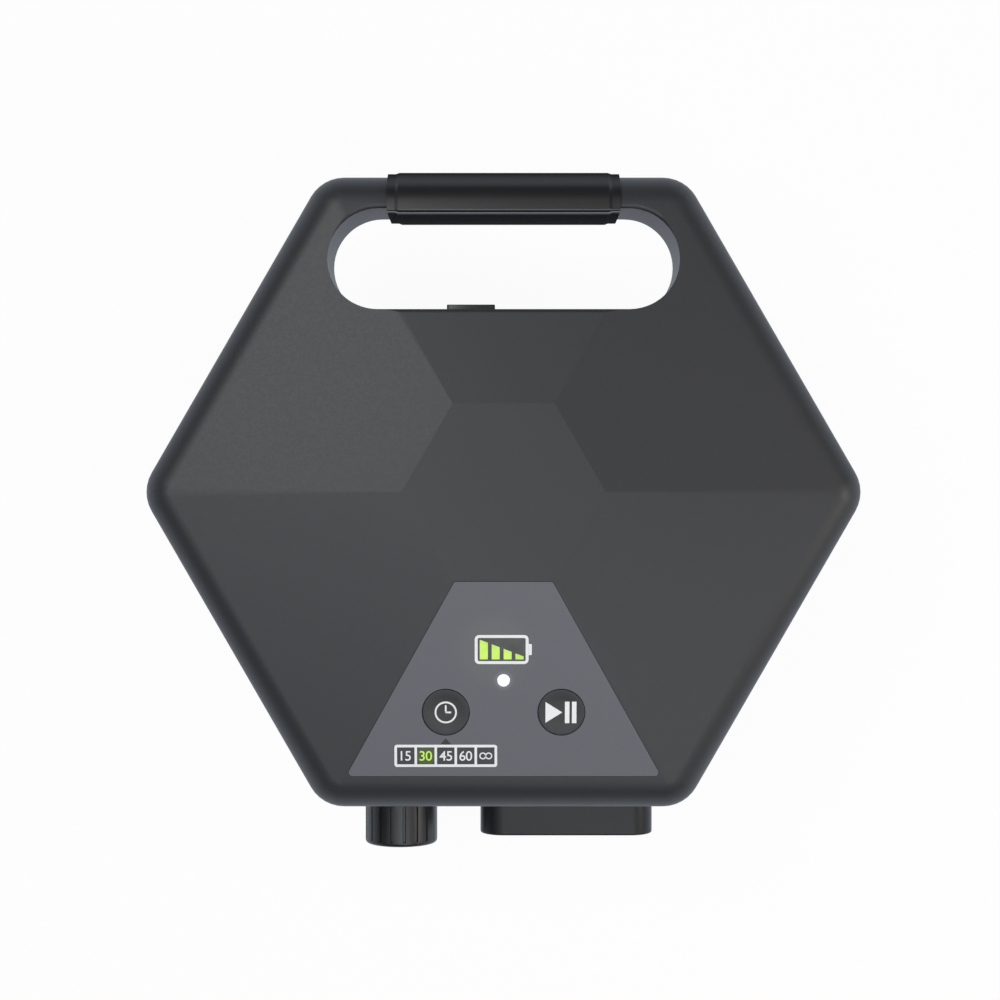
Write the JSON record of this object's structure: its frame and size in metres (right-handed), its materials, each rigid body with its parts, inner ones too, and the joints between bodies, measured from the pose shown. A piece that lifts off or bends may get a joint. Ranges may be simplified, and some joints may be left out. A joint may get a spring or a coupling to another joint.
{
  "type": "compression therapy pump",
  "caption": "Portable air pump for compression boots: hexagonal case with a carry handle, lit control panel, pressure knob, hose port and rocker power switch.",
  "frame": {"origin": "on the surface under the feet, at the middle of the outline", "axes": "+X to the right of the control face, +Y towards the handle, +Z out of the control face"},
  "size_m": [0.229, 0.2206, 0.0901],
  "materials": {
    "case_grey": "fine grain",
    "case_dark": "fine grain",
    "grip_rubber": "matt",
    "panel_grey": "satin film",
    "button_grey": "satin",
    "window_dark": "smooth",
    "display_green": "lit from behind",
    "print_white": "smooth",
    "lens_white": "lit from behind",
    "knob_grey": "satin",
    "switch_black": "satin",
    "nozzle_white": "smooth",
    "hose_clear": "smooth",
    "soft_black": "matt",
    "steel": "brushed",
    "motor_steel": "plain",
    "cast_metal": "cast",
    "contact_brass": "plain",
    "board_green": "lacquered",
    "chip_black": "plain",
    "tray_grey": "plain",
    "cell_wrap": "wrapped",
    "filter_foam": "open foam"
  },
  "bodies": {
    "case": {"front_shell": "case_grey", "back_shell": "case_dark", "handle_grip": "grip_rubber", "panel_inlay": "panel_grey", "battery_window": "window_dark", "battery_bars": "display_green", "timer_frame": "print_white", "timer_cells": "window_dark", "status_light": "lens_white", "keypad_board": "board_green", "key_switches": "chip_black", "panel_leds": "lens_white", "keypad_screws": "steel", "pressure_control": "cast_metal", "control_nut": "steel", "hose_port": "case_grey", "nozzle_block": "nozzle_white", "air_nozzles": "nozzle_white", "port_screws": "steel", "switch_frame": "switch_black", "charging_socket": "switch_black", "socket_pin": "contact_brass", "feet": "soft_black", "case_screws": "steel", "main_board": "board_green", "board_parts": "chip_black", "board_screws": "steel", "battery_cells": "cell_wrap", "battery_tray": "tray_grey", "pump_motor": "motor_steel", "pump_head": "cast_metal", "pump_bracket": "steel", "pump_mounts": "soft_black", "valve_manifold": "nozzle_white", "solenoid_valves": "motor_steel", "pressure_sensor": "chip_black", "valve_hoses": "hose_clear", "supply_hose": "hose_clear", "intake_filter": "filter_foam"},
    "knob": {"pressure_knob": "knob_grey", "control_shaft": "steel"},
    "time_key": {"time_button": "button_grey"},
    "start_key": {"start_button": "button_grey"},
    "rocker": {"switch_rocker": "switch_black"},
    "crank": {"pump_crankshaft": "steel"}
  },
  "joints": [
    {"name": "knob_turn", "type": "hinge", "parent": "case", "child": "knob", "pos_m": [-0.0345, -0.10203, 0.036], "axis": [0, -1, 0], "range_deg": [-150, 150]},
    {"name": "time_press", "type": "slide", "parent": "case", "child": "time_key", "axis": [0, 0.1392, -0.9903], "range_m": [0, 0.0008], "stiffness_N_per_m": 600, "springref_m": -0.001},
    {"name": "start_press", "type": "slide", "parent": "case", "child": "start_key", "axis": [0, 0.1392, -0.9903], "range_m": [0, 0.0008], "stiffness_N_per_m": 600, "springref_m": -0.001},
    {"name": "rocker_tip", "type": "hinge", "parent": "case", "child": "rocker", "pos_m": [-0.0103, 0.06513, 0.07097], "axis": [1, 0, 0], "range_deg": [-9, 0]},
    {"name": "crank_turn", "type": "hinge", "parent": "case", "child": "crank", "pos_m": [-0.045, -0.01503, 0.0326], "axis": [0, 1, 0], "continuous": true}
  ]
}
